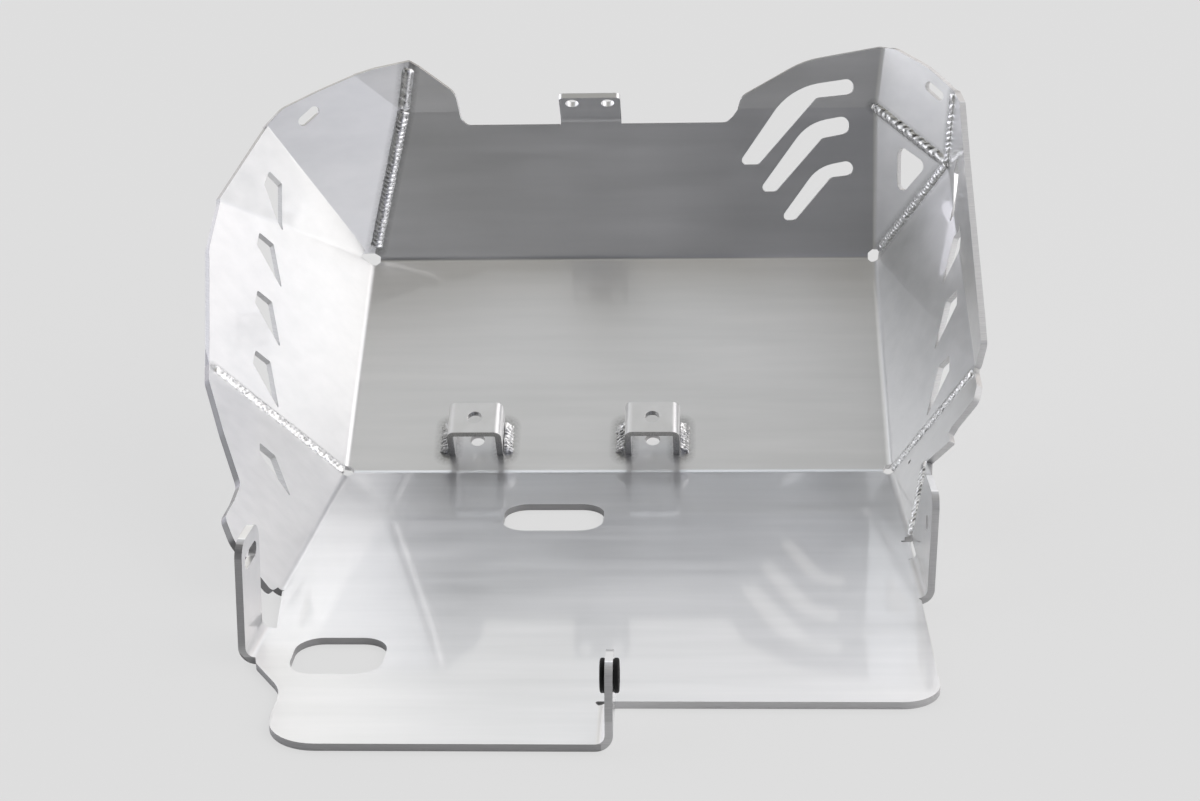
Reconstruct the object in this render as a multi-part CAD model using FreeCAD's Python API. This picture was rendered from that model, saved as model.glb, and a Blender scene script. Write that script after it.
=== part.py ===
import FreeCAD, Part
import math
import os

os.makedirs("parts", exist_ok=True)
Vec = FreeCAD.Vector

# Skid plate of folded sheet. X runs across the bike, Y towards its front wheel and Z up. The origin is
# on the bike's centre line, on the underside of the rear panel, half way along it.
# Every flat of the sheet is measured on its inner face, along and away from the fold it hangs on.

# Sheet and folds
sheet = 4.0
bend = 5.0
corner_gap = 5.0
mill_round = 3.0

# Belly: the rear panel lies flat, the middle panel climbs forward, the front wall stands on it
belly_w = 350.0
mid_len = 188.0
mid_rise = 30.5
wall_rise = 83.0

# Distance of the rear fold in front of the origin
fold_y = 155.5

# Rear panel outline behind the fold
splay = 3.13
rear_len = 309.8
left_ext_out = 44.2
left_ext_len = rear_len + left_ext_out
left_neck_x = -162.8
left_corner_r = 27.0
right_edge_x = 176.0
right_corner_r = 21.0
slot1 = (-36.0, 73.0, 61.0, 41.0)
slot2 = (-138.7, left_ext_len - 95.0, 49.5, 42.0)
rear_slot_r = 14.5

# Left rear flange, its tail and the left lug
left_flange_len = 178.0
lug_w = 36.0
left_lug_start = rear_len - 84.3
left_lug_h = 65.0
left_lug_lean = 2.3
lug_corner_r = 9.0
left_lug_in = 1.2
lug_slot_l = 24.0
lug_slot_w = 9.0
left_slot_h = 51.5

# Right rear flange, the lug behind it and the web between them
right_flange_len = 110.0
right_line_x = 179.3
right_lug_end = 188.0
right_fold_start = 136.0
relief_slit_w = 2.0
right_lug_h = 61.0
right_lug_top = 152.0
right_lug_lean = 1.2
right_hole_d = 9.0
right_hole_at = (171.0, 38.0)

# Side wings
left_wing_rise = 50.0
right_wing_rise = 62.0
left_crease = 14.0

# Front wall, ears and centre tab
ear_h = 103.0
ear_lean = 6.0
wall_top = 93.5
tab_x0 = -41.5
tab_w = 41.7
tab_fold_h = 97.3
tab_rise = 136.0
tab_len = 26.6
tab_hole_d = 9.0
tab_hole_pitch = 24.2
tab_hole_out = 19.9

# Kite cutouts in the wings
kite_len = 42.5
kite_shoulder = 9.0
kite_in = 9.2
kite_out = 6.8
kite_r = 1.5

# Obround holes in the front side flats
side_slot_l = 17.0
side_slot_w = 6.4

# Saddle brackets on the middle panel
bracket_w = 35.0
bracket_h = 23.5
bracket_l = 25.0
bracket_near = 14.2
bracket_x = (-91.5, 22.7)
bracket_hole_d = 9.5

# Rear tab and its rubber grommet
rtab_x = 7.0
rtab_w = 40.0
rtab_hole_h = 27.3
rtab_tip_r = 10.5
grommet_hub_d = 11.0
grommet_d = 17.4
grommet_lip = 2.8
grommet_bore_d = 6.5

# Weld beads
bead_r = 3.4
foot_bead_r = 6.5


# Helpers for directions, points on a flat and outlines with rounded corners
def unit(v):
    return v * (1.0 / v.Length)


def turned(v, axis, deg):
    return FreeCAD.Rotation(axis, deg).multVec(v)


class Flat:
    def __init__(self, corner, along, towards, inside):
        self.o = corner
        self.a = unit(along)
        side = towards - self.a * towards.dot(self.a)
        self.b = unit(side)
        n = self.a.cross(self.b)
        self.n = n if n.dot(inside - corner) > 0 else n * -1.0

    def at(self, a, b, up=0.0):
        return self.o + self.a * a + self.b * b + self.n * up


def outline(points):
    count = len(points)
    starts = []
    ends = []
    mids = []
    for i in range(count):
        p, r = points[i]
        before = unit(points[i - 1][0] - p)
        after = unit(points[(i + 1) % count][0] - p)
        if r <= 0:
            starts.append(p)
            ends.append(p)
            mids.append(None)
            continue
        half = before.getAngle(after) / 2.0
        reach = r / math.tan(half)
        starts.append(p + before * reach)
        ends.append(p + after * reach)
        middle = unit(before + after)
        mids.append(p + middle * (r / math.sin(half) - r))
    edges = []
    for i in range(count):
        if mids[i] is not None:
            edges.append(Part.Arc(starts[i], mids[i], ends[i]).toShape())
        nxt = starts[(i + 1) % count]
        if (nxt - ends[i]).Length > 1e-6:
            edges.append(Part.LineSegment(ends[i], nxt).toShape())
    return Part.Face(Part.Wire(edges))


def plate(flat, points):
    return outline(points).extrude(flat.n * -sheet)


def on(flat, rows):
    result = []
    for row in rows:
        r = row[2] if len(row) > 2 else 0.0
        result.append((flat.at(row[0], row[1]), r))
    return result


def sharp(*points):
    return [(p, 0.0) for p in points]


# A fold joins two flats along an inner corner line; its tangent ends are where the flats stop. One that
# turns away from the inside has its centre behind the sheet
class Fold:
    def __init__(self, first, second, p, q, radius=bend):
        angle = math.degrees(first.n.getAngle(second.n))
        if second.b.dot(first.n) < 0:
            radius = -radius - sheet
        w = (first.n + second.n) * (radius / (1.0 + first.n.dot(second.n)))
        axis = first.n.cross(second.n)
        self.p1 = p + w - first.n * radius
        self.q1 = q + w - first.n * radius
        self.p2 = p + w - second.n * radius
        self.q2 = q + w - second.n * radius
        out = first.n * -sheet
        section = Part.Face(Part.makePolygon([self.p1, self.q1, self.q1 + out, self.p1 + out, self.p1]))
        self.solid = section.revolve(p + w, axis, angle)


# A seam is two flats butted along a line, its outer groove filled and ground flush
def seam(first, second, p, q):
    ring = Part.makePolygon([p, p - first.n * sheet, p - second.n * sheet, p])
    return Part.Face(ring).extrude(q - p)


def between(p, q, share):
    return p + (q - p) * share


def from_end(p, q, dist):
    return p + unit(q - p) * dist


def bar(p, q, r):
    return Part.makeCylinder(r, (q - p).Length, p, q - p)


def drill(flat, a, b, d):
    return Part.makeCylinder(d / 2.0, 3.0 * sheet, flat.at(a, b, sheet), flat.n * -1.0)


def cutter(flat, rows, deep=sheet):
    pts = [(flat.at(row[0], row[1], deep), row[2] if len(row) > 2 else 0.0) for row in rows]
    return outline(pts).extrude(flat.n * (-sheet - 2.0 * deep))


def obround(flat, a, b, length, width, da, db):
    n = math.hypot(da, db)
    da = da / n
    db = db / n
    h = (length - width) / 2.0
    s = width / 2.0
    r = s - 0.01
    rows = []
    for along, across in ((h + s, s), (h + s, -s), (-h - s, -s), (-h - s, s)):
        rows.append((a + da * along - db * across, b + db * along + da * across, r))
    return cutter(flat, rows)


def kite(flat, a, b, direction, flip):
    c = math.cos(math.radians(direction))
    s = math.sin(math.radians(direction))
    shape = ((0.0, 0.0), (kite_shoulder, kite_in * flip), (kite_len, 0.0), (kite_shoulder, -kite_out * flip))
    rows = [(a + x * c - y * s, b + x * s + y * c, kite_r) for x, y in shape]
    rows[2] = (rows[2][0], rows[2][1], kite_r / 2.0)
    return cutter(flat, rows, 3.0 * sheet)


# Flats of the belly
fold_mid = Vec(0.0, fold_y, sheet)
inside = fold_mid + Vec(0.0, 80.0, 146.0)
rear = Flat(fold_mid, Vec(1, 0, 0), Vec(0, -1, 0), inside)
climb = Vec(0, math.cos(math.radians(mid_rise)), math.sin(math.radians(mid_rise)))
mid = Flat(fold_mid, Vec(1, 0, 0), climb, inside)
stand = Vec(0, math.cos(math.radians(wall_rise)), math.sin(math.radians(wall_rise)))
wall = Flat(mid.at(0, mid_len), Vec(1, 0, 0), stand, inside)
ear_up = turned(wall.b, Vec(1, 0, 0), ear_lean)
ear = Flat(wall.at(0, ear_h), Vec(1, 0, 0), ear_up, inside)
tab_up = turned(wall.b, Vec(1, 0, 0), tab_rise - wall_rise)
tab = Flat(wall.at(0, tab_fold_h), Vec(1, 0, 0), tab_up, inside)

half_w = belly_w / 2.0
L1 = mid.at(-half_w, mid_len)
L2 = mid.at(-half_w, 0)
R1 = mid.at(half_w, mid_len)
R2 = mid.at(half_w, 0)

# Left wing, its creased front corner, the front side flat and the small top triangle
left_rise = math.radians(left_wing_rise)
left_wing = Flat(L2, mid.b, mid.a * -math.cos(left_rise) + mid.n * math.sin(left_rise), inside)
LC = left_wing.at(147.4, 132.4)
LO = left_wing.at(16.5, 117.3)
crease = unit(LC - L1)
left_upper = Flat(L1, crease, turned(left_wing.b, crease, -left_crease), inside)
LT = left_upper.at(102.8, 66.2)
M1 = wall.at(-150.5, ear_h)
left_side = Flat(L1, M1 - L1, LT - L1, inside)
LP = left_side.at(125.0, 38.7)
LE = ear.at(-144.6, 35.2)
left_top = Flat(M1, LP - M1, LE - M1, inside)

# Left rear flange
left_back = turned(Vec(0, -1, 0), Vec(0, 0, 1), -splay)
left_flange = Flat(L2, left_back, LO - L2, inside)
left_lug_up = Vec(math.sin(math.radians(left_lug_lean)), 0, math.cos(math.radians(left_lug_lean)))
left_lug = Flat(L2 + Vec(left_lug_in, 0, 0), left_back, left_lug_up, inside)

# Right wing, the facet folded up along its outer edge and the flat folded back from the front wall
right_rise = math.radians(right_wing_rise)
right_wing = Flat(R2, mid.b, mid.a * math.cos(right_rise) + mid.n * math.sin(right_rise), inside)
RG = right_wing.at(195.2, 92.8)
RO = right_wing.at(11.7, 98.8)
RE = wall.at(174.2, ear_h)
right_side = Flat(R1, RE - R1, RG - R1, inside)
ear_dir = unit(right_side.n.cross(ear.n))
ear_dir = ear_dir if ear_dir.z > 0 else ear_dir * -1.0
RT = RE + ear_dir * 40.8
RH = right_side.at(117.2, 67.0)
facet = Flat(RO, RG - RO, RH - RO, inside)

# Right rear flange, the upright lug on the same line and the web between them
right_back = Vec(right_line_x - half_w, -right_lug_end, 0)
right_flange = Flat(R2, right_back, RO - R2, inside)
KR = right_flange.at(right_flange_len, 0)
lean = math.radians(right_lug_lean)
right_lug = Flat(R2, right_back, Vec(math.sin(lean), 0, math.cos(lean)), inside)
RS = right_flange.at(51.7, 30.9)
RC = right_lug.at(right_lug_top, right_lug_h - 2.0)
web = Flat(KR, RC - KR, RS - KR, inside)

# Folds
g = corner_gap
f_rear = Fold(rear, mid, mid.at(-half_w + g, 0), mid.at(half_w - g, 0), 8.0)
f_wall = Fold(mid, wall, wall.at(-half_w + g, 0), wall.at(half_w - g, 0))
f_lwing = Fold(mid, left_wing, from_end(L2, L1, g), from_end(L1, L2, g))
f_crease = Fold(left_wing, left_upper, from_end(L1, LC, 2.2 * g), LC, 12.0)
f_lside = Fold(left_upper, left_side, from_end(L1, LT, 1.8 * g), LT)
f_ltop = Fold(left_side, left_top, from_end(M1, LP, 2.0), LP)
f_lear = Fold(wall, ear, M1 + Vec(2.0, 0, 0), wall.at(-111.5, ear_h), 8.0)
f_rear_l = Fold(rear, left_flange, left_flange.at(g, 0), left_flange.at(left_flange_len, 0))
lug_a = left_lug_start
lug_b = left_lug_start + lug_w
f_llug = Fold(rear, left_lug, left_lug.at(lug_a, 0), left_lug.at(lug_b, 0))
f_rwing = Fold(mid, right_wing, from_end(R2, R1, g), from_end(R1, R2, g))
f_facet = Fold(right_wing, facet, from_end(RO, RG, 2.0), from_end(RG, RO, 3.0))
f_rside = Fold(wall, right_side, from_end(R1, RE, g), from_end(RE, R1, 2.0))
f_rear_ear = Fold(wall, ear, wall.at(80.0, ear_h), RE - Vec(3.0, 0, 0), 8.0)
f_ear_side = Fold(ear, right_side, from_end(RE, RT, 2.0), RT)
f_rear_r = Fold(rear, right_flange, right_flange.at(g, 0), right_flange.at(right_flange_len - 6.0, 0))
f_rlug = Fold(rear, right_lug, right_lug.at(right_fold_start, 0), right_lug.at(right_lug_end, 0))
f_web = Fold(right_lug, web, from_end(KR, RC, g), RC)
f_tab = Fold(wall, tab, tab.at(tab_x0, 0), tab.at(tab_x0 + tab_w, 0))
rtab = Flat(fold_mid + Vec(rtab_x, 0, 0), Vec(0, -1, 0), Vec(0, 0, 1), Vec(-200, 0, 50))
rtab_a = left_ext_len - rtab_w
f_rtab = Fold(rear, rtab, rtab.at(rtab_a, 0), rtab.at(left_ext_len, 0))

# Rear panel, with the relief notch in front of the left lug and the slit in front of the right one
neck = [(-181.4, lug_b + 6.5, 6.0), (left_neck_x, lug_b + 36.0, 30.0)]
slit_x = right_edge_x - 4.2
slit_y = right_flange_len - 1.0
rear_rows = sharp(f_rear.p1, f_rear.q1, f_rear_r.p1, f_rear_r.q1)
rear_rows += on(rear, [(slit_x + 2.2, slit_y), (slit_x, slit_y), (slit_x, slit_y + relief_slit_w)])
rear_rows += on(rear, [(right_edge_x + 1.0, slit_y + relief_slit_w),
                       (right_edge_x + 1.0, right_fold_start - 2.5)])
rear_rows += sharp(f_rlug.p1, f_rlug.q1)
rear_rows += on(rear, [(right_edge_x, right_lug_end + 3.0, 2.0), (right_edge_x, rear_len, right_corner_r)])
rear_rows += on(rear, [(0.5, rear_len, 1.0), (0.5, rear_len + 2.0, 1.0)])
rear_rows += sharp(f_rtab.p1, f_rtab.q1)
rear_rows += on(rear, [(left_neck_x, left_ext_len, left_corner_r)] + neck[::-1])
rear_rows += sharp(f_llug.q1, f_llug.p1)
rear_rows += on(rear, [(-178.2, lug_a + 0.5, 1.0), (-183.6, left_flange_len + 2.5),
                       (-183.6, left_flange_len + 0.5)])
rear_rows += sharp(f_rear_l.q1, f_rear_l.p1)
p_rear = plate(rear, rear_rows)

# Middle panel
p_mid = plate(mid, sharp(f_rear.p2, f_lwing.p1, f_lwing.q1, f_wall.p1, f_wall.q1, f_rwing.q1, f_rwing.p1,
                         f_rear.q2))

# Front wall: straight top between the two ears, the centre tab folded from it
wall_rows = sharp(f_wall.p2, from_end(L1, M1, g), from_end(M1, L1, 2.0), f_lear.p1, f_lear.q1)
wall_rows += on(wall, [(-110.6, 98.0, 6.0), (-106.5, wall_top, 6.0), (tab_x0, wall_top, 0.8)])
wall_rows += sharp(f_tab.p1, f_tab.q1)
wall_rows += on(wall, [(tab_x0 + tab_w, wall_top, 0.8), (72.0, wall_top, 6.0), (76.8, 98.0, 6.0)])
wall_rows += sharp(f_rear_ear.p1, f_rear_ear.q1, f_rside.q1, f_rside.p1, f_wall.q2)
p_wall = plate(wall, wall_rows)

p_lear = plate(ear, sharp(f_lear.q2, f_lear.p2, from_end(M1, LE, 2.0), LE)
               + on(ear, [(-138.5, 31.6, 4.0), (-114.2, 13.2, 14.0)]))
p_rear_ear = plate(ear, sharp(f_rear_ear.q2, f_rear_ear.p2) + on(ear, [(82.4, 8.2, 10.0), (124.8, 32.0, 60.0)])
                   + sharp(f_ear_side.q1, f_ear_side.p1))
p_tab = plate(tab, sharp(f_tab.p2, f_tab.q2) + on(tab, [(tab_x0 + tab_w, tab_len, mill_round),
                                                     (tab_x0, tab_len, mill_round)]))

# Left flats
p_lwing = plate(left_wing, sharp(f_lwing.q2, f_lwing.p2, from_end(L2, LO, g), LO)
                + on(left_wing, [(41.6, 121.7, 30.0), (104.0, 133.4, 30.0)]) + sharp(f_crease.q1, f_crease.p1))
p_lupper = plate(left_upper, sharp(f_crease.p2, f_crease.q2, f_lside.q1, f_lside.p1))
p_lside = plate(left_side, sharp(f_lside.p2, f_lside.q2)
                + on(left_side, [(93.6, 84.1, 16.0), (109.8, 61.6, 60.0)])
                + sharp(f_ltop.q1, f_ltop.p1, from_end(M1, L1, 2.0), from_end(L1, M1, g)))
p_ltop = plate(left_top, sharp(f_ltop.p2, f_ltop.q2,
                               between(LP, LE, 0.35) + left_top.b * 1.5, LE, from_end(M1, LE, 2.0)))
p_lflange = plate(left_flange, sharp(f_rear_l.p2, f_rear_l.q2)
                  + on(left_flange, [(left_flange_len + 8.5, 4.5, 3.5), (left_flange_len + 6.0, 15.0, 12.0),
                                     (left_flange_len - 2.0, 39.0, 14.0), (left_flange_len - 14.0, 50.8, 12.0),
                                     (left_flange_len - 36.9, 51.6, 20.0), (120.0, 54.0, 14.0),
                                     (88.7, 79.9, 60.0), (52.0, 106.9, 16.0)])
                  + sharp(LO, from_end(L2, LO, g)))
p_llug = plate(left_lug, sharp(f_llug.p2, f_llug.q2)
               + on(left_lug, [(lug_b, left_lug_h, lug_corner_r), (lug_a, left_lug_h, lug_corner_r + 2.0)]))

# Right flats
p_rwing = plate(right_wing, sharp(f_rwing.p2, f_rwing.q2, from_end(R1, RG, g), from_end(RG, R1, 3.0),
                                  f_facet.q1, f_facet.p1, from_end(RO, R2, 2.0), from_end(R2, RO, g)))
p_facet = plate(facet, sharp(f_facet.p2, f_facet.q2, from_end(RG, RH, 3.0), RH)
                + on(facet, [(188.0, 50.1, 6.0), (139.6, 41.0, 60.0), (24.4, 24.1, 60.0), (1.9, 19.7, 4.0)]))
p_rside = plate(right_side, sharp(f_rside.p2, f_rside.q2, f_ear_side.p2, f_ear_side.q2)
                + on(right_side, [(143.4, 15.0, 20.0), (131.5, 45.4, 60.0)])
                + sharp(RH, from_end(RG, RH, 3.0), from_end(RG, R1, 3.0), from_end(R1, RG, g)))
p_rflange = plate(right_flange, sharp(f_rear_r.q2, f_rear_r.p2, from_end(R2, RO, g), from_end(RO, R2, 2.0))
                  + on(right_flange, [(54.8, 89.1, 8.0), (65.0, 82.5, 5.0), (57.5, 60.5, 3.0),
                                      (58.4, 54.8, 1.5), (68.9, 54.1, 1.0)])
                  + sharp(RS, from_end(KR, RS, 2.0 * g)))
p_rlug = plate(right_lug, sharp(f_rlug.p2, f_rlug.q2)
               + on(right_lug, [(right_lug_end, right_lug_h, lug_corner_r), (right_lug_top + 4.0, right_lug_h, 2.0)])
               + sharp(f_web.q1, f_web.p1)
               + on(right_lug, [(right_fold_start - 17.0, 2.6), (right_fold_start - 2.0, 2.6)]))
p_web = plate(web, sharp(f_web.p2, f_web.q2, RS, from_end(KR, RS, 2.0 * g)))

# Rear tab with a rounded tip
tip_a = left_ext_len - rtab_w / 2.0
tip_side = rtab_tip_r + 1.5
p_rtab = plate(rtab, sharp(f_rtab.p2, f_rtab.q2)
               + on(rtab, [(left_ext_len, 12.0, 6.0), (tip_a + tip_side, rtab_hole_h + rtab_tip_r, rtab_tip_r - 1.0),
                           (tip_a - tip_side, rtab_hole_h + rtab_tip_r, rtab_tip_r - 1.0), (rtab_a, 12.0, 6.0)]))

# Ground outer seams
seams = [
    seam(wall, left_side, from_end(L1, M1, g), from_end(M1, L1, 2.0)),
    seam(left_top, ear, from_end(M1, LE, 2.0), LE),
    seam(left_wing, left_flange, from_end(L2, LO, g), LO),
    seam(right_wing, right_side, from_end(R1, RG, g), from_end(RG, R1, 3.0)),
    seam(facet, right_side, from_end(RG, RH, 3.0), RH),
    seam(right_wing, right_flange, from_end(R2, RO, g), from_end(RO, R2, 2.0)),
    seam(right_flange, web, from_end(KR, RS, 2.0 * g), RS),
]

flats = [p_rear, p_mid, p_wall, p_lear, p_rear_ear, p_tab, p_lwing, p_lupper, p_lside, p_ltop, p_lflange, p_llug,
         p_rwing, p_facet, p_rside, p_rflange, p_rlug, p_web, p_rtab]
folds = [f_rear, f_wall, f_lwing, f_crease, f_lside, f_ltop, f_lear, f_rear_l, f_llug, f_rwing, f_facet,
         f_rside, f_rear_ear, f_ear_side, f_rear_r, f_rlug, f_web, f_tab, f_rtab]
body = flats[0].multiFuse(flats[1:] + [f.solid for f in folds] + seams).removeSplitter()

# Openings of the rear panel and of the wall
cuts = []
for x, back, w, d in (slot1, slot2):
    cuts.append(cutter(rear, [(x - w / 2.0, back - d / 2.0, rear_slot_r), (x + w / 2.0, back - d / 2.0, rear_slot_r),
                              (x + w / 2.0, back + d / 2.0, rear_slot_r),
                              (x - w / 2.0, back + d / 2.0, rear_slot_r)]))
vent_low = [(79.8, 64.3, 3.5), (94.0, 64.3, 3.5), (133.5, 109.6, 6.0), (158.6, 112.0, 5.0), (158.6, 123.2, 5.0),
            (116.1, 117.2, 45.0)]
vent_mid = [(93.8, 45.5, 3.5), (106.0, 45.5, 3.5), (137.5, 81.8, 6.0), (156.0, 85.3, 5.5), (156.0, 97.9, 5.5),
            (127.8, 92.9, 32.0)]
vent_top = [(108.5, 25.5, 3.5), (119.4, 25.5, 3.5), (143.8, 54.8, 6.0), (159.0, 56.6, 5.0), (159.0, 67.4, 5.0),
            (135.0, 62.6, 26.0)]
for rows in (vent_low, vent_mid, vent_top):
    cuts.append(cutter(wall, rows, 2.0 * sheet))

# Kite cutouts: four along each wing and one in the left rear flange
for i in range(4):
    cuts.append(kite(left_wing, 49.1 + 47.3 * i, 85.2 + 6.35 * i, 217.0, 1.0))
    cuts.append(kite(right_wing, 41.4 + 43.6 * i, 74.0 + 14.8 * i, 227.5, 1.0))
cuts.append(kite(left_flange, 62.0, 58.6, -57.7, -1.0))

# Holes of the side flats, the lugs, the flange and the tabs
cuts.append(obround(left_side, 92.4, 64.8, side_slot_l, side_slot_w, 11.2, -8.8))
cuts.append(obround(right_side, 116.4, 50.6, side_slot_l, side_slot_w, -8.9, 14.1))
cuts.append(cutter(right_side, [(79.7, 19.2, 5.0), (41.0, 19.2, 5.0), (67.1, 45.5, 5.0)]))
cuts.append(obround(left_lug, (lug_a + lug_b) / 2.0, left_slot_h, lug_slot_l, lug_slot_w, 1.0, 0.0))
cuts.append(drill(right_lug, right_hole_at[0], right_hole_at[1], right_hole_d))
cuts.append(drill(right_flange, 22.6, 17.8, 3.0))
tab_mid = tab_x0 + tab_w / 2.0
for side in (-0.5, 0.5):
    cuts.append(drill(tab, tab_mid + side * tab_hole_pitch, tab_hole_out, tab_hole_d))
cuts.append(drill(rtab, tip_a, rtab_hole_h, grommet_hub_d))
for x in bracket_x:
    cuts.append(drill(mid, x, bracket_near + bracket_l / 2.0, bracket_hole_d))
body = body.cut(cuts[0].multiFuse(cuts[1:])).Solids[0]
body.exportStep("parts/plate.step")


# Saddle bracket: a strip folded twice, standing on its two feet, with one hole in its top
def bracket(x):
    half = bracket_w / 2.0
    outer = bend
    rows = [(x - half, 0.0, 0.0), (x - half, bracket_h, outer), (x + half, bracket_h, outer), (x + half, 0.0, 0.0),
            (x + half - sheet, 0.0, 0.0), (x + half - sheet, bracket_h - sheet, outer - sheet),
            (x - half + sheet, bracket_h - sheet, outer - sheet), (x - half + sheet, 0.0, 0.0)]
    ring = [(mid.at(a, bracket_near, up), r) for a, up, r in rows]
    shape = outline(ring).extrude(mid.b * bracket_l)
    hole_at = mid.at(x, bracket_near + bracket_l / 2.0, 0.0)
    return shape.cut(Part.makeCylinder(bracket_hole_d / 2.0, 2.0 * bracket_h, hole_at, mid.n))


brackets = [bracket(x) for x in bracket_x]
brackets[0].exportStep("parts/bracket_left.step")
brackets[1].exportStep("parts/bracket_right.step")

# Rubber grommet: a hub through the rear tab with a lip on both faces and a bore
gx = rtab_x + sheet / 2.0
axis = rtab.at(tip_a, rtab_hole_h)
lip_out = sheet / 2.0 + grommet_lip
hub = grommet_hub_d / 2.0
rim = grommet_d / 2.0
hole = grommet_bore_d / 2.0
half_t = sheet / 2.0
edge = 0.7
side = [(half_t, hub), (half_t, rim), (lip_out - edge, rim), (lip_out, rim - edge), (lip_out, hole + edge),
        (lip_out - edge, hole)]
profile = side + [(-dx, dr) for dx, dr in side[::-1]]
grommet = outline(sharp(*[Vec(gx + dx, axis.y, axis.z + dr) for dx, dr in profile]))
grommet = grommet.revolve(Vec(gx, axis.y, axis.z), Vec(1, 0, 0), 360)
grommet.exportStep("parts/grommet.step")


# Weld beads lie in the inner corners, sunk so that a low round back stands out of the sheet
def bead(first, second, p, q, r=bead_r):
    down = unit(first.n + second.n) * (-0.35 * r)
    return bar(p + down, q + down, r)


def foot_bead(x, side):
    way = mid.a * side
    foot = mid.at(x + side * bracket_w / 2.0, bracket_near)
    down = unit(mid.n + way) * (-0.2 * foot_bead_r)
    return bar(foot + down + mid.b * 1.0, foot + down + mid.b * (bracket_l - 1.0), foot_bead_r)


beads = {
    "bead_left_front": bead(wall, left_side, from_end(L1, M1, 9.0), M1),
    "bead_left_top": bead(ear, left_top, from_end(M1, LE, 2.5), from_end(LE, M1, 4.0)),
    "bead_left_rear": bead(left_wing, left_flange, from_end(L2, LO, 2.0), from_end(LO, L2, 4.0)),
    "bead_right_low": bead(right_wing, right_side, from_end(R1, RG, 9.0), RG),
    "bead_right_side": bead(right_side, right_side, from_end(RE, RG, 3.0), RG),
    "bead_right_top": bead(facet, right_side, RG, from_end(RH, RG, 3.0)),
    "bead_right_rear": bead(right_wing, right_flange, from_end(R2, RO, 2.0), from_end(RO, R2, 3.0)),
    "bead_right_web": bead(right_flange, web, from_end(KR, RS, 6.0), from_end(RS, KR, 2.0)),
    "bead_foot_1": foot_bead(bracket_x[0], -1.0),
    "bead_foot_2": foot_bead(bracket_x[0], 1.0),
    "bead_foot_3": foot_bead(bracket_x[1], -1.0),
    "bead_foot_4": foot_bead(bracket_x[1], 1.0),
}
done = []
for name, shape in beads.items():
    near = [body] + brackets + done
    shape = shape.cut(near)
    shape = max(shape.Solids, key=lambda s: s.Volume)
    shape.exportStep("parts/" + name + ".step")
    done.append(shape)
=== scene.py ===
import bpy
import math
from mathutils import Matrix, Vector


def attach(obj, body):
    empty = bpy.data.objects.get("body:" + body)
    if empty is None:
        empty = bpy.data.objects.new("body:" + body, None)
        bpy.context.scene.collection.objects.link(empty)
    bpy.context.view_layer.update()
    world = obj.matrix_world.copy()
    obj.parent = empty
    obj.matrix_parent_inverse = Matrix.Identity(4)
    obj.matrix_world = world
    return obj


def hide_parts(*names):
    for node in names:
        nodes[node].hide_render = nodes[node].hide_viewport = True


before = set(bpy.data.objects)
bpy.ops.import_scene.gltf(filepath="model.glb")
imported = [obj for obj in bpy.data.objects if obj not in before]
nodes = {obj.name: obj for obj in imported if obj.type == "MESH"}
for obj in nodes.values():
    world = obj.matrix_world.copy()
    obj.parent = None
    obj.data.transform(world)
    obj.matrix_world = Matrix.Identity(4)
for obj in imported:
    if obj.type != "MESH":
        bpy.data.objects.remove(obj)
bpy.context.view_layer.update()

# Folded sheet
# The skid plate itself: one blank of 4 mm mill finish aluminium, laser cut, folded on a press brake and
# wiped clean. Its faces mirror softly, with faint streaks across; the cut edges are rougher.


def new_material(name, metallic, roughness):
    mat = bpy.data.materials.new(name)
    mat.use_nodes = True
    shader = mat.node_tree.nodes["Principled BSDF"]
    shader.inputs["Metallic"].default_value = metallic
    shader.inputs["Roughness"].default_value = roughness
    return mat, mat.node_tree, shader


def noise(tree, stretch, scale, detail):
    where = tree.nodes.new("ShaderNodeTexCoord")
    mapping = tree.nodes.new("ShaderNodeMapping")
    mapping.inputs["Scale"].default_value = stretch
    tree.links.new(where.outputs["Object"], mapping.inputs["Vector"])
    node = tree.nodes.new("ShaderNodeTexNoise")
    node.inputs["Scale"].default_value = scale
    node.inputs["Detail"].default_value = detail
    tree.links.new(mapping.outputs["Vector"], node.inputs["Vector"])
    return node.outputs["Fac"]


def spread(tree, source, low, high, from_low=0.3, from_high=0.7):
    node = tree.nodes.new("ShaderNodeMapRange")
    node.inputs["From Min"].default_value = from_low
    node.inputs["From Max"].default_value = from_high
    node.inputs["To Min"].default_value = low
    node.inputs["To Max"].default_value = high
    tree.links.new(source, node.inputs["Value"])
    return node.outputs["Result"]


def calculate(tree, operation, first, second):
    node = tree.nodes.new("ShaderNodeMath")
    node.operation = operation
    for socket, value in zip(node.inputs, (first, second)):
        if isinstance(value, (int, float)):
            socket.default_value = value
        else:
            tree.links.new(value, socket)
    return node.outputs["Value"]


def within(tree, value, middle, reach):
    node = tree.nodes.new("ShaderNodeMath")
    node.operation = "COMPARE"
    tree.links.new(value, node.inputs[0])
    node.inputs[1].default_value = middle
    node.inputs[2].default_value = reach
    return node.outputs["Value"]


def along(tree, vector, way):
    node = tree.nodes.new("ShaderNodeVectorMath")
    node.operation = "DOT_PRODUCT"
    tree.links.new(vector, node.inputs[0])
    node.inputs[1].default_value = way
    return node.outputs["Value"]


def mixed(tree, share, first, second):
    node = tree.nodes.new("ShaderNodeMix")
    node.data_type = "RGBA"
    tree.links.new(share, node.inputs["Factor"])
    for socket, value in ((node.inputs["A"], first), (node.inputs["B"], second)):
        if isinstance(value, tuple):
            socket.default_value = (*value, 1)
        else:
            tree.links.new(value, socket)
    return node.outputs["Result"]


def raise_grain(tree, shader, height, strength, distance):
    node = tree.nodes.new("ShaderNodeBump")
    node.inputs["Strength"].default_value = strength
    node.inputs["Distance"].default_value = distance
    tree.links.new(height, node.inputs["Height"])
    tree.links.new(node.outputs["Normal"], shader.inputs["Normal"])
    return node


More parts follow.
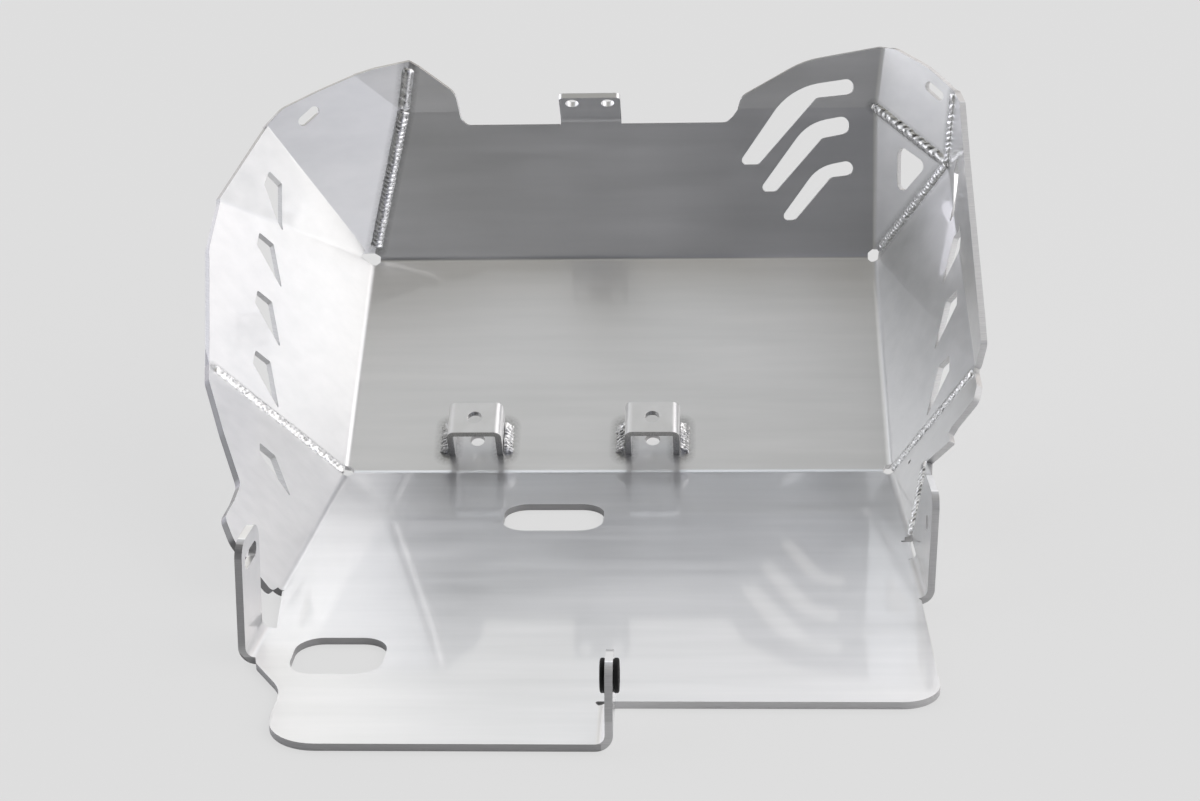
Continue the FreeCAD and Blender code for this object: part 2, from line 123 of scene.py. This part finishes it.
def break_edges(tree, grain, radius):
    node = tree.nodes.new("ShaderNodeBevel")
    node.samples = 4
    node.inputs["Radius"].default_value = radius
    tree.links.new(node.outputs["Normal"], grain.inputs["Normal"])


sheet_metal, tree, shader = new_material("mill_finish_sheet", 1.0, 0.38)
shader.inputs["Coat Weight"].default_value = 1.0
shader.inputs["Coat Roughness"].default_value = 0.06
shader.inputs["Coat IOR"].default_value = 1.8
cloud = noise(tree, (1, 1, 1), 9.0, 3.0)
rolling = noise(tree, (4, 300, 300), 2.0, 2.0)
wiped = noise(tree, (8, 95, 95), 1.0, 5.0)
cut_lines = noise(tree, (90, 90, 2600), 1.0, 1.0)
surface = tree.nodes.new("ShaderNodeNewGeometry")
facing = tree.nodes.new("ShaderNodeSeparateXYZ")
tree.links.new(surface.outputs["True Normal"], facing.inputs["Vector"])
where = tree.nodes.new("ShaderNodeTexCoord")
place = tree.nodes.new("ShaderNodeSeparateXYZ")
tree.links.new(where.outputs["Object"], place.inputs["Vector"])

# Behind the rear fold only cut edges look backwards. They get painted shade, and more of it where the
# sheet shades itself: on the rearmost edges far out to the left, from the foot of the lug upwards.
rear_fold_y, backwards_from, square_back_from = 0.06, -0.15, -0.6
far_left_x, shade_foot, shade_full, shade_most, edge_shade = -0.1, 0.004, 0.012, 0.4, 0.3
backwards = calculate(tree, "LESS_THAN", facing.outputs["Y"], backwards_from)
behind_fold = calculate(tree, "LESS_THAN", place.outputs["Y"], rear_fold_y)
cut_edge = calculate(tree, "MULTIPLY", backwards, behind_fold)
square_back = calculate(tree, "LESS_THAN", facing.outputs["Y"], square_back_from)
far_left = calculate(tree, "LESS_THAN", place.outputs["X"], far_left_x)
height = spread(tree, place.outputs["Z"], 0.0, shade_most, shade_foot, shade_full)
shaded = calculate(tree, "MULTIPLY", calculate(tree, "MULTIPLY", square_back, far_left), height)
painted_edge_shade = calculate(tree, "MULTIPLY", cut_edge, calculate(tree, "ADD", shaded, edge_shade))

# Elsewhere a face is a cut edge where it lies inside the thickness of a flat and stands square to it.
# One row per flat: the way it faces, how far from the origin its inner face lies, how much shade is
# painted on its edge.
flats = {
    "rear": ((0.0, 0.0, 1.0), 0.004, 0.35),
    "left_wing": ((0.766, -0.3262, 0.5538), -0.18257, 0.1),
    "left_upper": ((0.7889, -0.4883, 0.3732), -0.25597, 0.1),
    "left_side": ((0.3836, -0.9232, 0.0214), -0.35812, 0.0),
    "left_flange": ((0.758, -0.0414, 0.651), -0.13649, 0.1),
    "right_wing": ((-0.8829, -0.2383, 0.4045), -0.18995, 0.0),
    "right_side": ((-0.7076, -0.702, 0.0807), -0.33869, 0.0),
    "facet": ((-0.9967, -0.0516, 0.062), -0.22165, 0.0),
    "right_flange": ((-0.8715, -0.0199, 0.49), -0.15365, 0.05),
    "wall": ((0.0, -0.9925, 0.1219), -0.303, 0.3),
}
half_sheet, slack, square_within = 0.002, 0.00003, 0.2
step_x, rim_way, rim_distance = 0.005, (1.0, 0.434, 0.0), -0.193
left_half = calculate(tree, "LESS_THAN", place.outputs["X"], step_x)
past_rim = along(tree, where.outputs["Object"], rim_way)
left_rim = calculate(tree, "LESS_THAN", past_rim, rim_distance)
# More painted shade on the cut edges of the left half of the rear panel and past the rim line of the
# left flange
more_painted_shade = {"rear": (left_half, 0.3), "left_flange": (left_rim, 0.75)}
for name, (way, distance, edge_shade_share) in flats.items():
    depth = along(tree, where.outputs["Object"], way)
    inside = within(tree, depth, distance - half_sheet, half_sheet + slack)
    tilt = along(tree, surface.outputs["True Normal"], way)
    flagged = calculate(tree, "MULTIPLY", inside, within(tree, tilt, 0.0, square_within))
    cut_edge = calculate(tree, "MAXIMUM", cut_edge, flagged)
    if name in more_painted_shade:
        part, more = more_painted_shade[name]
        edge_shade_share = calculate(tree, "ADD", calculate(tree, "MULTIPLY", part, more), edge_shade_share)
    painted_edge_shade = calculate(tree, "MAXIMUM", painted_edge_shade, calculate(tree, "MULTIPLY", flagged, edge_shade_share))
streaks = calculate(tree, "ADD", spread(tree, cloud, 0.0, 0.3), spread(tree, wiped, 0.0, 0.7))
face_tone = mixed(tree, streaks, (0.865, 0.87, 0.875), (0.95, 0.95, 0.955))
pale_tone = mixed(tree, spread(tree, cut_lines, 0.0, 1.0), (0.68, 0.68, 0.685), (0.78, 0.78, 0.78))
# Painted shade: the cut edges darken towards a deep grey by their share of painted shade
edge_tone = mixed(tree, painted_edge_shade, pale_tone, (0.13, 0.13, 0.135))
tone = mixed(tree, cut_edge, face_tone, edge_tone)

# Painted shade darkens the sheet beside each seam and round each bracket foot. One row per weld: its
# first and last point, and how far the painted shade reaches from it.
seams = {
    "left_front": ((-0.17292, 0.31855, 0.10811), (-0.15010, 0.33010, 0.20320), 0.0085),
    "left_top": ((-0.15030, 0.33006, 0.20260), (-0.14526, 0.33058, 0.23290), 0.0085),
    "left_rear": ((-0.17627, 0.15497, 0.00545), (-0.24785, 0.12517, 0.08690), 0.0055),
    "right_low": ((0.17921, 0.31407, 0.10660), (0.21857, 0.28210, 0.17367), 0.0080),
    "right_side": ((0.17260, 0.33173, 0.20260), (0.21857, 0.28210, 0.17367), 0.0062),
    "right_top": ((0.21857, 0.28210, 0.17367), (0.22131, 0.28466, 0.22030), 0.0060),
    "right_rear": ((0.17593, 0.15481, 0.00563), (0.21999, 0.12234, 0.08266), 0.0055),
    "right_web": ((0.17877, 0.05086, 0.00645), (0.19090, 0.10238, 0.03012), 0.0050),
    "foot_1": ((-0.1100, 0.1686, 0.0117), (-0.1100, 0.1884, 0.0234), 0.0100),
    "foot_2": ((-0.0730, 0.1686, 0.0117), (-0.0730, 0.1884, 0.0234), 0.0100),
    "foot_3": ((0.0042, 0.1686, 0.0117), (0.0042, 0.1884, 0.0234), 0.0100),
    "foot_4": ((0.0412, 0.1686, 0.0117), (0.0412, 0.1884, 0.0234), 0.0100),
}
full_shade_within = 0.35


def distance_to_run(tree, position, first, last):
    run = Vector(last) - Vector(first)
    from_first = tree.nodes.new("ShaderNodeVectorMath")
    from_first.operation = "SUBTRACT"
    tree.links.new(position, from_first.inputs[0])
    from_first.inputs[1].default_value = first
    down_run = along(tree, from_first.outputs["Vector"], run.normalized())
    down_run = calculate(tree, "MINIMUM", calculate(tree, "MAXIMUM", down_run, 0.0), run.length)
    nearest = tree.nodes.new("ShaderNodeVectorMath")
    nearest.operation = "SCALE"
    nearest.inputs[0].default_value = run.normalized()
    tree.links.new(down_run, nearest.inputs["Scale"])
    gap = tree.nodes.new("ShaderNodeVectorMath")
    gap.operation = "DISTANCE"
    tree.links.new(from_first.outputs["Vector"], gap.inputs[0])
    tree.links.new(nearest.outputs["Vector"], gap.inputs[1])
    return gap.outputs["Value"]


# Painted shade beside the welds: full near each run, fading out to its reach; noise makes it patchy and
# it mixes the sheet's tone towards grey
seam_shade = None
for first, last, reach in seams.values():
    gap = distance_to_run(tree, where.outputs["Object"], first, last)
    beside = spread(tree, gap, 1.0, 0.0, full_shade_within * reach, reach)
    seam_shade = beside if seam_shade is None else calculate(tree, "MAXIMUM", seam_shade, beside)
shade_patches = noise(tree, (1, 1, 1), 600.0, 3.0)
seam_shade = calculate(tree, "MULTIPLY", seam_shade, spread(tree, shade_patches, 0.35, 0.75))
tree.links.new(mixed(tree, seam_shade, tone, (0.30, 0.30, 0.30)), shader.inputs["Base Color"])

# Streaks and clouds roughen the faces a little. A cut edge is rougher and, where it isn't in shade, so
# scattered by the cut that it looks pale from every side.
edge_rough, edge_scatter = 0.3, 0.8
face_rough = calculate(tree, "ADD", spread(tree, wiped, 0.0, 0.05), spread(tree, cloud, 0.33, 0.41))
rough = calculate(tree, "ADD", face_rough, calculate(tree, "MULTIPLY", cut_edge, edge_rough))
tree.links.new(rough, shader.inputs["Roughness"])
pale_edge = calculate(tree, "SUBTRACT", cut_edge, painted_edge_shade)
scattered = calculate(tree, "MULTIPLY", pale_edge, edge_scatter)
tree.links.new(calculate(tree, "SUBTRACT", 1.0, scattered), shader.inputs["Metallic"])
break_edges(tree, raise_grain(tree, shader, rolling, 0.12, 0.00002), 0.0005)
nodes["plate"].material_slots[0].material = sheet_metal

# Saddle brackets
# Two short strips of the same sheet, each folded into a saddle and standing on the middle panel; their
# tumbled faces are a little duller than the big panels, their sawn ends duller still.
bracket_metal, tree, shader = new_material("tumbled_strip", 1.0, 0.36)
strip_axis, end_within = (0.0, 0.86163, 0.50754), 0.9
cloud = noise(tree, (1, 1, 1), 90.0, 4.0)
saw_lines = noise(tree, (1500, 1500, 300), 1.0, 2.0)
surface = tree.nodes.new("ShaderNodeNewGeometry")
end_on = calculate(tree, "ABSOLUTE", along(tree, surface.outputs["True Normal"], strip_axis), 0.0)
saw_cut = calculate(tree, "GREATER_THAN", end_on, end_within)
face_tone = mixed(tree, spread(tree, cloud, 0.0, 1.0), (0.88, 0.88, 0.88), (0.93, 0.93, 0.93))
cut_tone = mixed(tree, spread(tree, saw_lines, 0.0, 1.0), (0.48, 0.48, 0.48), (0.70, 0.70, 0.70))
tree.links.new(mixed(tree, saw_cut, face_tone, cut_tone), shader.inputs["Base Color"])
tree.links.new(spread(tree, cloud, 0.32, 0.42), shader.inputs["Roughness"])
break_edges(tree, raise_grain(tree, shader, cloud, 0.1, 0.00004), 0.0006)
for side in ("bracket_left", "bracket_right"):
    nodes[side].material_slots[0].material = bracket_metal

# Seam welds
# TIG fillets laid into the inner corners where two flats of the blank meet: a low row of overlapping
# crescents, with a painted highlight on their backs and painted shade in the valleys between them.
weld_metal, tree, shader = new_material("bright_weld", 1.0, 0.3)
shape = tree.nodes.new("ShaderNodeNewGeometry")
cloud = noise(tree, (1, 1, 1), 420.0, 3.0)
# Painted shade in the valleys and a painted highlight on the backs of the ripples, by how pointed the
# mesh is there
painted_valley_shade = mixed(tree, spread(tree, cloud, 0.0, 1.0), (0.36, 0.36, 0.37), (0.58, 0.58, 0.59))
painted_back_highlight = spread(tree, shape.outputs["Pointiness"], 0.0, 1.0, 0.45, 0.53)
tree.links.new(mixed(tree, painted_back_highlight, painted_valley_shade, (0.92, 0.92, 0.92)), shader.inputs["Base Color"])
tree.links.new(spread(tree, cloud, 0.22, 0.38), shader.inputs["Roughness"])


def pick_points(mesh, test):
    bpy.ops.object.mode_set(mode="OBJECT")
    for part in (*mesh.polygons, *mesh.edges):
        part.select = False
    for point in mesh.vertices:
        point.select = test(point.co)
    bpy.ops.object.mode_set(mode="EDIT")


def rippled_bar(length, radius, count, swell, seed):
    """A round bar along Z with `count` crescent ripples, each one given by a few rings."""
    rings, sides, jitter = 5, 20, 0.015
    step = length / count
    last = rings * count
    bpy.ops.object.select_all(action="DESELECT")
    bpy.ops.mesh.primitive_cylinder_add(vertices=sides, radius=radius, depth=length)
    bar = bpy.context.object
    mesh = bar.data
    bpy.ops.object.mode_set(mode="EDIT")
    bpy.ops.mesh.select_all(action="DESELECT")
    bpy.ops.mesh.select_mode(type="EDGE")
    bpy.ops.object.mode_set(mode="OBJECT")
    for edge in mesh.edges:
        ends = [mesh.vertices[i].co.z for i in edge.vertices]
        edge.select = abs(ends[0] - ends[1]) > length / 2
    bpy.ops.object.mode_set(mode="EDIT")
    bpy.ops.mesh.subdivide(number_cuts=last - 1)
    bpy.ops.mesh.select_mode(type="VERT")

    def ring(co):
        return round((co.z + length / 2) / step * rings)

    for residue, share in enumerate((-1.0, -0.1, 0.6, 1.0, 0.9)):
        size = 1.0 + swell * share
        pick_points(mesh, lambda co: ring(co) % rings == residue)
        bpy.ops.transform.resize(value=(size, size, 1.0))
    for at_end, size in ((0, 0.6), (1, 0.88), (last - 1, 0.88), (last, 0.6)):
        pick_points(mesh, lambda co: ring(co) == at_end)
        bpy.ops.transform.resize(value=(size, size, 1.0))
    for height, shift in ((0.97, -0.15), (0.9, -0.2), (0.75, -0.25), (0.5, -0.3), (0.2, -0.3)):
        pick_points(mesh, lambda co: co.y > radius * height and 3 < ring(co) < last - 3)
        bpy.ops.transform.translate(value=(0.0, 0.0, shift * step))
    bpy.ops.mesh.select_all(action="SELECT")
    bpy.ops.transform.vertex_random(offset=radius * jitter, uniform=0.7, seed=seed)
    bpy.ops.object.mode_set(mode="OBJECT")
    return bar


def weld_seam(name, first, second, radius, pitch, swell, uneven, seed):
    """A rippled bar laid from end to end of a seam, sunk by a share of its radius, made lumpy, and cut
    a little below the faces of the two flats, which are given by the ways they face."""
    sunk, below_face, lump_size = 0.42, 0.0004, 0.8
    start, end = (Vector(point) for point in seams[name][:2])
    length = (end - start).length
    weld = rippled_bar(length, radius, max(2, round(length / pitch)), swell, seed)
    weld.name = "weld_" + name
    first, second = Vector(first), Vector(second)
    along_seam = (end - start).normalized()
    across = (first + second).normalized().cross(along_seam).normalized()
    up = along_seam.cross(across)
    turn = Matrix((across, up, along_seam)).transposed().to_4x4()
    weld.matrix_world = Matrix.Translation((start + end) / 2 - up * sunk * radius) @ turn
    bpy.ops.object.transform_apply(location=True, rotation=True, scale=True)
    rounding = weld.modifiers.new("rounding", "SUBSURF")
    rounding.levels = 1
    bpy.ops.object.modifier_apply(modifier="rounding")
    puddle = weld.modifiers.new("puddle", "DISPLACE")
    puddle.texture = bpy.data.textures.new("puddle_" + name, "CLOUDS")
    puddle.texture.noise_scale = lump_size * pitch
    puddle.texture_coords = "GLOBAL"
    puddle.strength = uneven
    puddle.mid_level = 0.5
    bpy.ops.object.modifier_apply(modifier="puddle")
    bpy.ops.object.mode_set(mode="EDIT")
    for face in (first, second):
        bpy.ops.mesh.select_all(action="SELECT")
        bpy.ops.mesh.bisect(plane_co=start - face * below_face, plane_no=face, clear_inner=True,
                            use_fill=True, threshold=0.000001)
    bpy.ops.mesh.select_all(action="SELECT")
    bpy.ops.mesh.delete_loose(use_verts=True, use_edges=True)
    bpy.ops.mesh.select_all(action="SELECT")
    bpy.ops.mesh.normals_make_consistent(inside=False)
    bpy.ops.object.mode_set(mode="OBJECT")
    bpy.ops.object.shade_smooth_by_angle(angle=math.radians(50))
    weld.data.materials.append(weld_metal)
    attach(weld, "root")
    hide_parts("bead_" + name)


# The flats that the seams join, each as the way it faces
ways = {name: row[0] for name, row in flats.items()}
ways["ear"] = (0.0, -0.9998, 0.0175)
ways["left_top"] = (0.3335, -0.9419, -0.0395)
ways["web"] = (-0.9755, 0.1605, 0.1505)

# The two flats, then radius, ripple length, swell of the ripples, unevenness and random seed of each
# seam, as the welder ran it: the front left one in even broad crescents, the top one nearly smooth, the
# right hand ones in lumps
for name, first, second, *run in (
    ("left_front", "wall", "left_side", 0.0050, 0.0030, 0.055, 0.0006, 1),
    ("left_top", "ear", "left_top", 0.0050, 0.0060, 0.02, 0.0008, 2),
    ("left_rear", "left_wing", "left_flange", 0.0040, 0.0030, 0.08, 0.0012, 3),
    ("right_low", "right_wing", "right_side", 0.0046, 0.0024, 0.045, 0.0009, 4),
    ("right_side", "right_side", "ear", 0.0042, 0.0052, 0.06, 0.0012, 5),
    ("right_top", "facet", "right_side", 0.0042, 0.0035, 0.04, 0.0009, 6),
    ("right_rear", "right_wing", "right_flange", 0.0034, 0.0022, 0.09, 0.0009, 7),
    ("right_web", "right_flange", "web", 0.0048, 0.0034, 0.08, 0.0013, 8),
):
    weld_seam(name, ways[first], ways[second], *run)

# Bracket foot welds
# One short heavy fillet along the outside of each saddle leg, run in coarse uneven lumps; it joins the
# leg to the middle panel and is left as welded.
panel = (0.0, -0.50754, 0.86163)
for number, side, seed in ((1, -1, 11), (2, 1, 12), (3, -1, 23), (4, 1, 24)):
    weld_seam("foot_%d" % number, panel, (side, 0.0, 0.0), 0.0075, 0.0026, 0.07, 0.0026, seed)

# Rubber grommet
# A moulded black ring pushed into the hole of the rear tab, a soft lip on both faces and a plain bore
# through it, so that a pin of the rear frame can slip in without rattling.
rubber, tree, shader = new_material("black_rubber", 0.0, 0.5)
shader.inputs["Specular IOR Level"].default_value = 0.18
cloud = noise(tree, (1, 1, 1), 800.0, 3.0)
tone = mixed(tree, spread(tree, cloud, 0.0, 1.0), (0.003, 0.003, 0.003), (0.008, 0.008, 0.008))
tree.links.new(tone, shader.inputs["Base Color"])
tree.links.new(spread(tree, cloud, 0.42, 0.6), shader.inputs["Roughness"])
raise_grain(tree, shader, cloud, 0.15, 0.00005)
hub_radius, lip_radius, bore_radius = 0.0055, 0.0087, 0.00325
lip_height, rim, groove, lip_round, near = 0.0028, 0.0012, 0.0004, 0.0011, 0.0001
tab_hole = (0.009, -0.1785, 0.0313)
bpy.ops.object.select_all(action="DESELECT")
bpy.ops.mesh.primitive_cylinder_add(vertices=48, radius=hub_radius, depth=2 * half_sheet)
grommet = bpy.context.object
grommet.name = "rubber_grommet"
mesh = grommet.data
bpy.ops.object.mode_set(mode="EDIT")
bpy.ops.mesh.select_mode(type="FACE")


def pick_faces(mesh, test):
    bpy.ops.mesh.select_all(action="DESELECT")
    bpy.ops.object.mode_set(mode="OBJECT")
    for face in mesh.polygons:
        face.select = test(face)
    bpy.ops.object.mode_set(mode="EDIT")


def extrude(height):
    bpy.ops.mesh.extrude_region_move(TRANSFORM_OT_translate={"value": (0.0, 0.0, height)})


for way in (1, -1):
    pick_faces(mesh, lambda face: face.normal.z * way > 0.9
               and face.center.z * way > half_sheet - near)
    extrude(0.0)
    bpy.ops.transform.resize(value=(lip_radius / hub_radius, lip_radius / hub_radius, 1.0))
    extrude(way * lip_height)
    bpy.ops.mesh.inset(thickness=lip_radius - bore_radius - rim)
    extrude(-way * groove)
    bpy.ops.mesh.inset(thickness=rim)
pick_faces(mesh, lambda face: len(face.vertices) > 8)
bpy.ops.mesh.bridge_edge_loops()
bpy.ops.mesh.select_all(action="DESELECT")
bpy.ops.mesh.select_mode(type="EDGE")
bpy.ops.object.mode_set(mode="OBJECT")
for edge in mesh.edges:
    ends = [mesh.vertices[i].co for i in edge.vertices]
    far = [math.hypot(co.x, co.y) for co in ends]
    edge.select = min(far) > lip_radius - near and abs(ends[0].z - ends[1].z) < near
bpy.ops.object.mode_set(mode="EDIT")
bpy.ops.mesh.bevel(offset=lip_round, segments=4, affect="EDGES")
bpy.ops.mesh.select_all(action="SELECT")
bpy.ops.mesh.remove_doubles(threshold=0.00001)
bpy.ops.mesh.normals_make_consistent(inside=False)
bpy.ops.object.mode_set(mode="OBJECT")
grommet.matrix_world = Matrix.Translation(tab_hole) @ Matrix.Rotation(math.pi / 2, 4, "Y")
bpy.ops.object.transform_apply(location=True, rotation=True, scale=True)
bpy.ops.object.shade_smooth_by_angle(angle=math.radians(40))
mesh.materials.append(rubber)
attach(grommet, "root")
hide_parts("grommet")

# Studio floor
# A wide pale board under the object; the camera sees it mostly as plain background with a faint
# shadow, and the metal sees it as a matt white board.
pale = (0.737, 0.737, 0.737)
bpy.ops.object.select_all(action="DESELECT")
bpy.ops.mesh.primitive_grid_add(x_subdivisions=4, y_subdivisions=4, size=1, location=(0, 0, 0))
floor = bpy.context.object
floor.name = "studio_floor"
floor.scale = (8.0, 5.5, 1.0)
floor.location = (0.0, 2.35, -0.0004)
bpy.ops.object.transform_apply(location=True, rotation=True, scale=True)
board = bpy.data.materials.new("pale_board")
board.use_nodes = True
tree = board.node_tree
tree.nodes.clear()
matt = tree.nodes.new("ShaderNodeBsdfDiffuse")
matt.inputs["Color"].default_value = (0.9, 0.9, 0.9, 1)
plain = tree.nodes.new("ShaderNodeEmission")
plain.inputs["Color"].default_value = (*pale, 1)
plain.inputs["Strength"].default_value = 1.0
path = tree.nodes.new("ShaderNodeLightPath")
share = calculate(tree, "MULTIPLY", path.outputs["Is Camera Ray"], 0.85)
mix = tree.nodes.new("ShaderNodeMixShader")
tree.links.new(share, mix.inputs["Fac"])
tree.links.new(matt.outputs["BSDF"], mix.inputs[1])
tree.links.new(plain.outputs["Emission"], mix.inputs[2])
end = tree.nodes.new("ShaderNodeOutputMaterial")
tree.links.new(mix.outputs["Shader"], end.inputs["Surface"])
floor.data.materials.append(board)

# Studio light
# White panels hung round the object in a dim room, each a soft round patch of light: bright ones at
# both sides and above the front, weak ones behind the camera, so that what faces the camera stays grey.
# One row per panel: azimuth from the front to the right, elevation, reach (degrees) and colour.
panels = [
    (90, 0, 34, (0.45, 0.42, 0.37)), (120, 0, 34, (1.40, 1.41, 1.51)),
    (210, 0, 34, (0.26, 0.26, 0.25)), (300, 0, 34, (1.82, 1.83, 2.09)),
    (30, 25, 34, (0.83, 0.75, 0.68)), (60, 25, 34, (0.58, 0.60, 0.65)),
    (120, 25, 34, (0.85, 0.83, 0.75)), (150, 25, 34, (0.41, 0.42, 0.49)),
    (270, 25, 34, (1.26, 1.28, 1.32)), (330, 25, 34, (0.51, 0.46, 0.37)),
    (0, 50, 34, (0.75, 0.80, 0.87)), (90, 50, 34, (1.52, 1.48, 1.48)),
    (315, 50, 34, (0.59, 0.59, 0.60)), (240, 80, 34, (0.37, 0.36, 0.33)),
    (265, 8, 20, (0.65, 0.65, 0.66)),
]
world = bpy.data.worlds.new("studio")
bpy.context.scene.world = world
world.use_nodes = True
tree = world.node_tree
tree.nodes.clear()
where = tree.nodes.new("ShaderNodeTexCoord")
room = None
for azimuth, elevation, reach, colour in panels:
    azimuth, elevation = math.radians(azimuth), math.radians(elevation)
    level = math.cos(elevation)
    way = (math.sin(azimuth) * level, math.cos(azimuth) * level, math.sin(elevation))
    patch = tree.nodes.new("ShaderNodeMapRange")
    patch.interpolation_type = "SMOOTHSTEP"
    patch.inputs["From Min"].default_value = math.cos(math.radians(reach))
    patch.inputs["From Max"].default_value = 1.0
    tree.links.new(along(tree, where.outputs["Generated"], way), patch.inputs["Value"])
    glow = tree.nodes.new("ShaderNodeBackground")
    glow.inputs["Color"].default_value = (*colour, 1)
    tree.links.new(patch.outputs["Result"], glow.inputs["Strength"])
    if room is None:
        room = glow.outputs["Background"]
    else:
        both = tree.nodes.new("ShaderNodeAddShader")
        tree.links.new(room, both.inputs[0])
        tree.links.new(glow.outputs["Background"], both.inputs[1])
        room = both.outputs["Shader"]
backdrop = tree.nodes.new("ShaderNodeBackground")
backdrop.inputs["Color"].default_value = (*pale, 1)
path = tree.nodes.new("ShaderNodeLightPath")
mix = tree.nodes.new("ShaderNodeMixShader")
tree.links.new(path.outputs["Is Camera Ray"], mix.inputs["Fac"])
tree.links.new(room, mix.inputs[1])
tree.links.new(backdrop.outputs["Background"], mix.inputs[2])
end = tree.nodes.new("ShaderNodeOutputWorld")
tree.links.new(mix.outputs["Shader"], end.inputs["Surface"])

# Camera
# Where the photographer stood: above and behind the rear edge, looking forward into the folded tray.
camera_data = bpy.data.cameras.new("camera")
camera_data.lens = 64.26
camera_data.sensor_width = 36.0
camera_data.clip_start = 0.01
camera = bpy.data.objects.new("camera", camera_data)
bpy.context.scene.collection.objects.link(camera)
stand = Vector((0.05553, -1.119465, 0.518594))
right = Vector((0.99883053, 0.04372338, -0.02063577))
down = Vector((-0.00438306, -0.34316868, -0.93926356))
ahead = Vector((-0.04814932, 0.93825557, -0.34257572))
turn = Matrix((right, -down, -ahead)).transposed().to_4x4()
camera.matrix_world = Matrix.Translation(stand) @ turn
bpy.context.scene.camera = camera
bpy.context.scene.view_settings.view_transform = "Standard"
